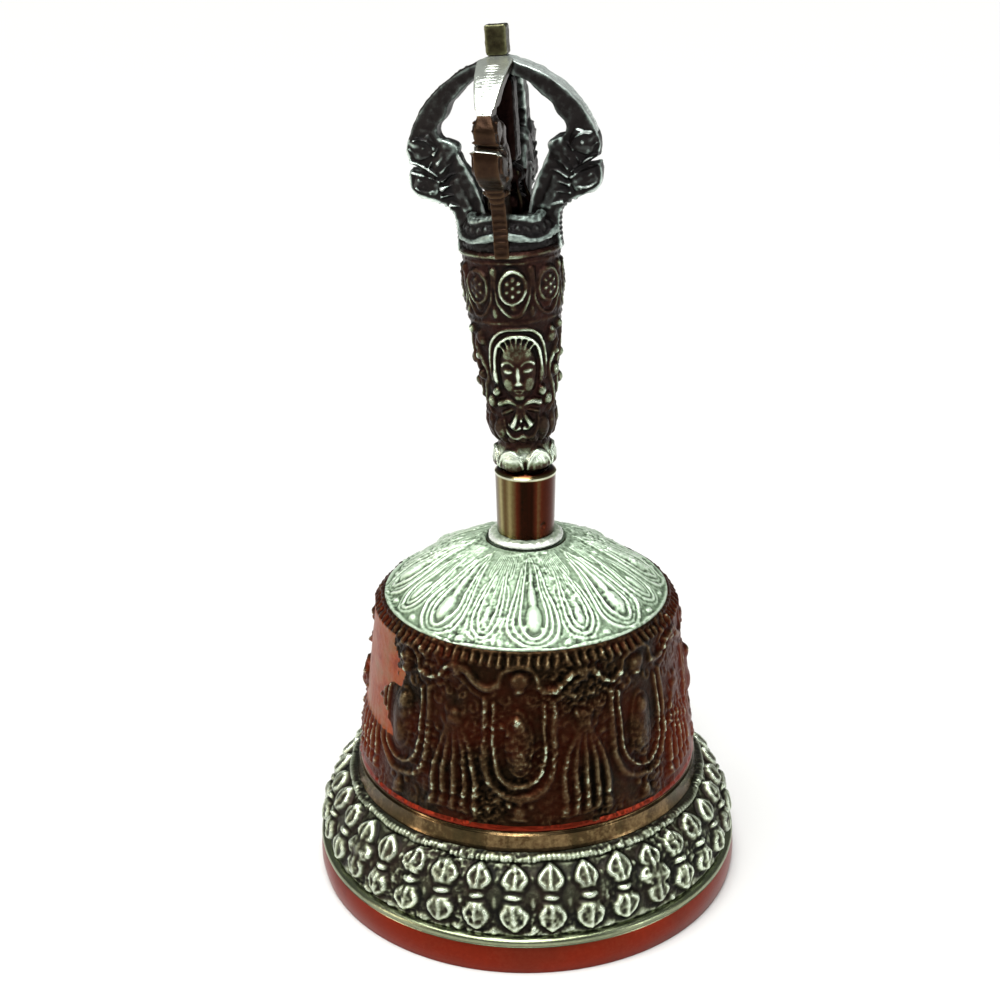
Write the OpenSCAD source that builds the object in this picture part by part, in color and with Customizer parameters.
// Tibetan hand bell with a half-vajra handle.
// Origin at the centre of the mouth, +Z up the bell, the face on the grip looks along -Y.

/* [Bell] */
// Outside diameter at the widest part of the lip
mouth_d = 93; // [76:0.5:112]
// Height of the bell from the mouth to its crown seat
bell_h = 76; // [62:0.5:92]
// Outside diameter at the foot of the waist
waist_d = 73.4; // [66:0.2:76]
// Outside diameter at the shoulder
shoulder_d = 61.2; // [54:0.2:66]
// Rise of the dome from the shoulder to the crown seat
dome_h = 11.8; // [9:0.1:14.2]
// Wall of the waist and dome
wall = 2.6; // [2:0.1:3.4]
// Wall at the mouth
lip_wall = 3.2; // [2.6:0.1:4]
// Height of the plain lip
lip_h = 6.2; // [5:0.1:7.5]
// Height of the skirt, where the ring of small vajras stands
skirt_h = 13; // [10.8:0.1:15.6]
// Height of the plain band over the skirt
band_h = 4; // [3.2:0.1:4.8]
// Height of the fluted fringe under the shoulder
fringe_h = 2.4; // [1.8:0.1:3]
// Diameter of the round mouldings
bead_d = 1.8; // [1.4:0.1:2.2]
// Diameter of the flat seat on the crown
seat_d = 17; // [16:0.1:20.4]

/* [Ferrule and collar] */
// Outside diameter of the collar on the crown
collar_d = 15.8; // [14:0.1:19]
// Thickness of the collar
collar_t = 1.3; // [1:0.1:1.6]
// Outside diameter of the ferrule at its foot
ferrule_d = 12; // [11:0.1:14.4]
// How much wider the ferrule is at its top
ferrule_flare = 0.6; // [0:0.1:1]
// Length of the ferrule
ferrule_h = 14.7; // [12:0.1:18]
// Wall of the ferrule
ferrule_wall = 1.2; // [1:0.1:1.5]

/* [Grip] */
// Lean of the handle towards -X, as fitted by hand
handle_lean = 3.3; // [0:0.1:4]
// Diameter of the collar at the grip's foot
neck_d = 11.9; // [11:0.1:13]
// Height of the neck below the groove
neck_h = 6.4; // [5.2:0.1:7.6]
// Diameter of the grip just over the neck
grip_low_d = 13.9; // [13:0.1:16.5]
// Diameter of the grip at its top
grip_top_d = 19.7; // [17:0.1:23.5]
// Height of the grip from the ferrule to the hub
grip_h = 46.5; // [39:0.5:55]
// Width of the face on the grip
face_w = 8.4; // [7:0.1:10]
// Height of the face on the grip
face_h = 13.6; // [11.4:0.1:16.2]
// Diameter of the cavity inside the grip
cavity_d = 9.4; // [8:0.1:10]

/* [Vajra head] */
// Turn of the vajra head from the face, clockwise from above
head_turn = 9.5; // [0:0.5:45]
// Height of the hub that holds the prongs
hub_h = 5; // [4.2:0.1:6]
// Diameter across the outer prongs
crown_d = 37.8; // [34:0.2:45]
// Height of the outer prongs over the hub's base
crown_h = 35.2; // [31:0.2:42]
// Width of a prong
prong_w = 4.3; // [3.6:0.1:5.1]
// Width of the dragon head on a prong
cheek_w = 5.7; // [5.2:0.1:6.8]
// Thickness of a prong's blade
blade_t = 4; // [3.2:0.1:4.8]
// Width of the centre prong
centre_w = 3.4; // [2.8:0.1:4.1]
// Width of the square finial
finial_w = 4; // [3.6:0.1:4.8]
// Height of the square finial
finial_h = 5.6; // [4.6:0.1:6.8]

/* [Clapper] */
// Diameter of the eye bolt's shank
bolt_d = 5; // [4.2:0.1:5.4]
// Wire of the eye bolt's eye
eye_wire = 2.6; // [2.2:0.1:3.1]
// Inside diameter of the eye bolt's eye
eye_bore = 5.4; // [4.8:0.1:6.4]
// Wire of the swing link
link_wire = 2; // [1.7:0.1:2.4]
// Inside diameter of the swing link
link_bore = 5.8; // [5.6:0.1:6.9]
// Diameter of the clapper's rod
rod_d = 3.2; // [2.7:0.1:3.8]
// Wire of the clapper's eye
rod_eye_wire = 2.2; // [1.9:0.1:2.6]
// Inside diameter of the clapper's eye
rod_eye_bore = 4.2; // [3.6:0.1:5]
// Diameter of the clapper's head
clapper_d = 15; // [12.5:0.1:18]
// Height of the clapper's head
clapper_h = 13; // [11:0.1:15.6]
// Height of the clapper over the mouth
clapper_rise = 5; // [3:0.1:8]

/* [Hidden] */
$fn = 96;

fit_gap = 0.1;          // round a shank in its hole
touch_gap = 0.05;       // between pieces that rest on each other
curve_steps = 10;

bronze = "peru";
brass = "gold";
dark_bronze = "sienna";
silver = "silver";
iron = "dimgray";
resin = "saddlebrown";

// ---- heights up the bell ----
bead_r = bead_d / 2;
mouth_r = mouth_d / 2;
lip_draw = 0.5;                                   // how far the lip draws in at its foot
skirt_z = lip_h + bead_d;
skirt_top_z = skirt_z + skirt_h;
band_z = skirt_top_z + bead_d;
waist_z = band_z + band_h;
shoulder_z = bell_h - dome_h;
fringe_z = shoulder_z - fringe_h;
waist_r = waist_d / 2;
shoulder_r = shoulder_d / 2;
skirt_step = 2.2;                                 // from the waist's foot out to the skirt's top
skirt_top_r = waist_r + skirt_step;
fringe_step = 1.5;                                // from the shoulder edge out to the fringe's foot
lip_set = 1.1;                                    // from the lip in to the skirt's foot
crown_wall = 3.2;
crown_under = bell_h - crown_wall;
seat_inner_r = seat_d / 2 + 0.6;

// ---- clapper train ----
washer_d = 14;
washer_t = 1.4;
nut_af = 8;
nut_h = 4;
washer_z = crown_under - washer_t;
nut_z = washer_z - nut_h;
eye_drop = 1.2;                                   // bare shank between the nut and the eye
eye_r = (eye_bore + eye_wire) / 2;
eye_z = nut_z - eye_drop - eye_r;
link_r = (link_bore + link_wire) / 2;
swing_z = eye_z - eye_r;                          // where the link hangs on the eye
link_z = swing_z + (eye_wire + link_wire) / 2 + touch_gap - link_r;
clapper_z = link_z - link_r;                      // where the clapper hangs on the link
rod_eye_r = (rod_eye_bore + rod_eye_wire) / 2;
rod_eye_z = clapper_z + (link_wire + rod_eye_wire) / 2 + touch_gap - rod_eye_r;
head_top_z = clapper_rise + clapper_h;

// ---- handle ----
collar_z = bell_h;
ferrule_z = collar_z + collar_t;
handle_z = ferrule_z + ferrule_h;
ferrule_bore_r = ferrule_d / 2 - ferrule_wall;
spigot_l = 3;
spigot_gap = 0.3;
neck_trim = 1;                                    // spare at the neck's foot, dressed off
spigot_r = ferrule_bore_r - spigot_gap;
neck_bore_r = bolt_d / 2 + 0.9;
socket_d = 4;                                     // round tang of the centre prong
socket_l = 8;
cavity_roof = 6.1;                                // metal between the cavity and the socket
cavity_z = neck_h + 2;
cavity_h = grip_h - cavity_z - cavity_roof - socket_l;
bolt_top = handle_z + cavity_z + cavity_h * 0.75;
hub_r = grip_top_d / 2;
foot_depth = 4.4;                                 // how far a prong's foot goes into the hub
foot_z = 0.6;                                     // underside of the slot over the hub's base
crown_r = crown_d / 2;

// ---- curves ----
function bez(a, b, c, t) = (1 - t) * (1 - t) * a + 2 * t * (1 - t) * b + t * t * c;
function curve(a, b, c, n = curve_steps) = [for (i = [0:n]) bez(a, b, c, i / n)];
function arc(centre, r, from, to, n = curve_steps) =
    [for (i = [0:n]) let (a = from + (to - from) * i / n) centre + r * [cos(a), sin(a)]];

// ---- outlines, as [radius, height] ----
dome_mid = [(shoulder_r + seat_d / 2) / 2, shoulder_z + dome_h * 0.68];
waist_mid = [waist_r * 0.62 + shoulder_r * 0.38, waist_z + (fringe_z - waist_z) * 0.4];
bell_outside = concat(
    [[mouth_r - lip_draw, 0]],
    curve([mouth_r - lip_draw, 0], [mouth_r + lip_draw, lip_h / 2], [mouth_r - lip_draw, lip_h]),
    arc([mouth_r - lip_set, lip_h + bead_r], bead_r, -60, 90),
    curve([mouth_r - lip_set - bead_r, skirt_z + 0.2], [mouth_r - lip_set - 0.5, skirt_z + skirt_h * 0.65],
        [skirt_top_r, skirt_top_z]),
    arc([skirt_top_r - bead_r, skirt_top_z + bead_r], bead_r, -60, 90),
    curve([skirt_top_r - bead_r - 0.2, band_z], [waist_r + 0.3, band_z + band_h * 0.35], [waist_r + 0.4, waist_z - 0.4]),
    curve([waist_r, waist_z], waist_mid, [shoulder_r + fringe_step, fringe_z]),
    arc([shoulder_r - bead_r, shoulder_z - bead_r], bead_r, 0, 70),
    curve([shoulder_r - bead_d, shoulder_z + 0.3], dome_mid,
        [seat_d / 2, bell_h]));
skirt_mid = [(skirt_top_r + mouth_r - lip_set) / 2, skirt_z + skirt_h * 0.62];
bell_inside = concat(
    [[seat_inner_r, crown_under]],
    curve([seat_inner_r, crown_under], dome_mid - [0, wall],
        [shoulder_r - wall - 2, shoulder_z - wall]),
    curve([shoulder_r - wall, shoulder_z - wall - 2], waist_mid - [wall, 0], [waist_r - wall, waist_z]),
    curve([waist_r - wall, waist_z - 0.5], [waist_r - wall + 0.8, skirt_top_z], skirt_mid - [wall, 0]),
    curve(skirt_mid - [wall, 0.4], [mouth_r - lip_wall - 1.2, skirt_z + skirt_h * 0.3],
        [mouth_r - lip_draw - lip_wall, skirt_z - 2]),
    [[mouth_r - lip_draw - lip_wall, 0]]);

grip_slope = [grip_top_d / 2 - 0.95, grip_h * 0.58];
grip_outside = concat(
    [[neck_d / 2 - 0.3, -neck_trim], [neck_d / 2, 0.8], [neck_d / 2, neck_h / 2]],
    curve([neck_d / 2, neck_h / 2], [neck_d / 2 - 0.1, neck_h * 0.8], [neck_d / 2 - 0.7, neck_h]),
    curve([neck_d / 2 - 0.7, neck_h + 0.3], [grip_low_d / 2 - 0.3, neck_h + 0.6], [grip_low_d / 2, neck_h + 3.4]),
    curve([grip_low_d / 2, neck_h + 3.4], [grip_low_d / 2 + 0.55, neck_h + 9.6], grip_slope),
    curve(grip_slope, [grip_top_d / 2 - 0.3, grip_h * 0.7], [grip_top_d / 2, grip_h * 0.82]),
    [[grip_top_d / 2, grip_h]]);

// The prong's outline, as [radius, height over the hub's base].
tip_r = centre_w / 2 + touch_gap;
snout = [crown_r - 0.3, crown_h * 0.53];
jaw = [crown_r, crown_h * 0.35];
bite = [crown_r - 1.6, crown_h * 0.435];
foot_r = hub_r + 0.1;
foot_in = foot_r - foot_depth;
blade_mid = [crown_r - 2.4, crown_h * 0.83];
prong_outer = concat(
    [[foot_r, foot_z], [foot_r, hub_h]],
    curve([foot_r, hub_h], [foot_r + 1, crown_h * 0.21], [jaw[0] - 3.6, crown_h * 0.25]),
    curve([jaw[0] - 3.6, crown_h * 0.25], [jaw[0] - 0.2, crown_h * 0.28], jaw),
    [bite, [snout[0] + 0.1, snout[1] - 1]],
    curve(snout, blade_mid, [tip_r, crown_h]));
prong_inner = concat(
    curve([tip_r, crown_h - blade_t * 0.6], blade_mid - [blade_t * 1.25, blade_t * 0.75],
        snout - [blade_t * 1.75, -1.2]),
    [snout - [blade_t * 2, 0.2], bite - [blade_t * 2.1, 0.4]],
    curve(bite - [blade_t * 2.2, 0.6], [foot_in + 1.2, crown_h * 0.28], [foot_in + 0.6, hub_h]),
    [[foot_in, hub_h], [foot_in, foot_z]]);

// ---- helpers ----
module turned(points) { rotate_extrude() polygon(points); }
module ring(r, wire) { rotate_extrude() translate([r, 0]) circle(d = wire); }
module on_handle() { translate([0, 0, handle_z]) rotate([0, -handle_lean, 0]) children(); }
module on_hub() { on_handle() translate([0, 0, grip_h]) rotate([0, 0, -head_turn]) children(); }

// ---- bell ----
module bell_body() {
    color(bronze) difference() {
        turned(concat(bell_outside, [[0, bell_h], [0, crown_under]], bell_inside));
        translate([0, 0, crown_under - 1]) cylinder(d = bolt_d + 2 * fit_gap, h = crown_wall + 2);
    }
}

module crown_collar() {
    rim = collar_d / 2;
    color(silver) difference() {
        translate([0, 0, collar_z])
            turned([[0, 0], [rim, 0], [rim, collar_t * 0.5], [rim - 0.5, collar_t], [0, collar_t]]);
        translate([0, 0, collar_z - 1]) cylinder(d = bolt_d + 2 * fit_gap, h = collar_t + 2);
    }
}

module ferrule() {
    foot = ferrule_d / 2;
    top = foot + ferrule_flare / 2;
    color(brass) difference() {
        translate([0, 0, ferrule_z])
            turned([[0, 0], [foot, 0], [foot, 1], [top, ferrule_h - 1.6], [top, ferrule_h - 1],
                [top - 0.8, ferrule_h], [0, ferrule_h]]);
        translate([0, 0, ferrule_z - 1]) cylinder(r = ferrule_bore_r, h = ferrule_h + 2);
    }
}

// ---- clapper train ----
module inner_washer() {
    color(silver) translate([0, 0, washer_z]) difference() {
        cylinder(d = washer_d, h = washer_t);
        translate([0, 0, -1]) cylinder(d = bolt_d + 2 * fit_gap, h = washer_t + 2);
    }
}

module lock_nut() {
    color(silver) translate([0, 0, nut_z]) difference() {
        cylinder(d = nut_af / cos(30), h = nut_h, $fn = 6);
        translate([0, 0, -1]) cylinder(d = bolt_d + 2 * touch_gap, h = nut_h + 2);
    }
}

module eye_bolt() {
    color(iron) {
        translate([0, 0, eye_z]) rotate([90, 0, 0]) ring(eye_r, eye_wire);
        translate([0, 0, eye_z + eye_r]) cylinder(d = bolt_d, h = bolt_top - eye_z - eye_r);
    }
}

module swing_link() {
    color(iron) translate([0, 0, link_z]) rotate([0, 90, 0]) ring(link_r, link_wire);
}

module clapper_rod() {
    color(iron) {
        translate([0, 0, rod_eye_z]) rotate([90, 0, 0]) ring(rod_eye_r, rod_eye_wire);
        translate([0, 0, clapper_rise]) cylinder(d = rod_d, h = rod_eye_z - rod_eye_r - clapper_rise);
    }
}

module clapper_head() {
    r = clapper_d / 2;
    belly_z = clapper_rise + clapper_h * 0.42;
    color(brass) difference() {
        turned(concat([[0, clapper_rise]],
            curve([r * 0.35, clapper_rise], [r, clapper_rise + 0.6], [r, belly_z]),
            curve([r, belly_z], [r * 0.98, head_top_z - 2.5], [rod_d / 2 + 1.2, head_top_z]),
            [[0, head_top_z]]));
        translate([0, 0, clapper_rise - 1]) cylinder(d = rod_d + 2 * touch_gap, h = clapper_h + 2);
    }
}

// ---- grip ----
module cavity(gap) {
    translate([0, 0, cavity_z + gap]) cylinder(d = cavity_d - 2 * gap, h = cavity_h - 2 * gap);
}

module face() {
    translate([0, -grip_slope[0] + face_w * 0.32, grip_slope[1] + 0.3])
        turned([for (i = [0:24]) let (a = -90 + i * 7.5) [cos(a) * face_w / 2, sin(a) * face_h / 2]]);
}

// The leaning neck is dressed square, so that it sits flat on the ferrule.
module neck_seat_cut() {
    translate([0, 0, handle_z - neck_trim * 2]) difference() {
        cylinder(d = neck_d * 2, h = neck_trim * 2);
        translate([0, 0, -1]) cylinder(r = ferrule_bore_r, h = neck_trim * 2 + 2);
    }
}

module grip() {
    color(dark_bronze) difference() {
        on_handle() {
            turned(concat([[0, -spigot_l], [spigot_r, -spigot_l], [spigot_r, -neck_trim]], grip_outside,
                [[0, grip_h]]));
            face();
        }
        neck_seat_cut();
        on_handle() {
            translate([0, 0, -spigot_l - 1]) cylinder(r = neck_bore_r, h = spigot_l + cavity_z + 2);
            cavity(0);
            translate([0, 0, grip_h - socket_l]) cylinder(d = socket_d + 2 * fit_gap, h = socket_l + 1);
        }
    }
}

module grip_filler() {
    color(resin) difference() {
        on_handle() cavity(touch_gap);
        translate([0, 0, handle_z]) cylinder(d = bolt_d + 2 * touch_gap, h = bolt_top - handle_z + touch_gap);
    }
}

// ---- vajra head ----
module foot_slot() {
    translate([foot_in - fit_gap, -prong_w / 2 - fit_gap, foot_z])
        cube([foot_depth * 2, prong_w + 2 * fit_gap, hub_h * 2]);
}

module lotus_hub() {
    color(dark_bronze) on_hub() difference() {
        turned(concat([[0, 0], [hub_r, 0]],
            arc([hub_r - bead_r, bead_r], bead_r, -60, 70),
            arc([hub_r - bead_r - 0.3, bead_d + bead_r], bead_r, -70, 80),
            [[foot_in, hub_h], [0, hub_h]]));
        for (a = [0:90:270]) rotate([0, 0, a]) foot_slot();
        translate([0, 0, -1]) cylinder(d = socket_d + 2 * fit_gap, h = hub_h + 2);
    }
}

module prong_body() {
    cheek_r = blade_t * 0.85;
    rotate([90, 0, 0]) {
        linear_extrude(height = prong_w, center = true) polygon(concat(prong_outer, prong_inner));
        for (p = [[snout[0] - cheek_r - 0.6, snout[1] - 0.2], [jaw[0] - cheek_r - 1, jaw[1] + 0.2]])
            translate(p) cylinder(r = cheek_r, h = cheek_w, center = true);
    }
}

// The tips are mitred, so that four of them close round the centre prong.
module mitre() {
    translate([2 * touch_gap, 0, 0]) linear_extrude(height = crown_h * 2)
        polygon([[0, 0], [crown_d, -crown_d], [crown_d, crown_d]]);
}

module prong(angle) {
    color(dark_bronze) on_hub() rotate([0, 0, angle]) intersection() {
        prong_body();
        mitre();
    }
}

module centre_prong() {
    bar_l = crown_h + touch_gap - hub_h;
    color(brass) on_hub() {
        translate([0, 0, -socket_l + 1]) cylinder(d = socket_d, h = socket_l - 1 + hub_h);
        translate([-centre_w / 2, -centre_w / 2, hub_h]) cube([centre_w, centre_w, bar_l + finial_h / 2]);
        translate([-finial_w / 2, -finial_w / 2, crown_h + touch_gap]) cube([finial_w, finial_w, finial_h]);
    }
}

bell_body();
crown_collar();
ferrule();
inner_washer();
lock_nut();
eye_bolt();
swing_link();
clapper_rod();
clapper_head();
grip();
grip_filler();
lotus_hub();
prong(-90);  // prong_front
prong(0);  // prong_right
prong(90);  // prong_back
prong(180);  // prong_left
centre_prong();
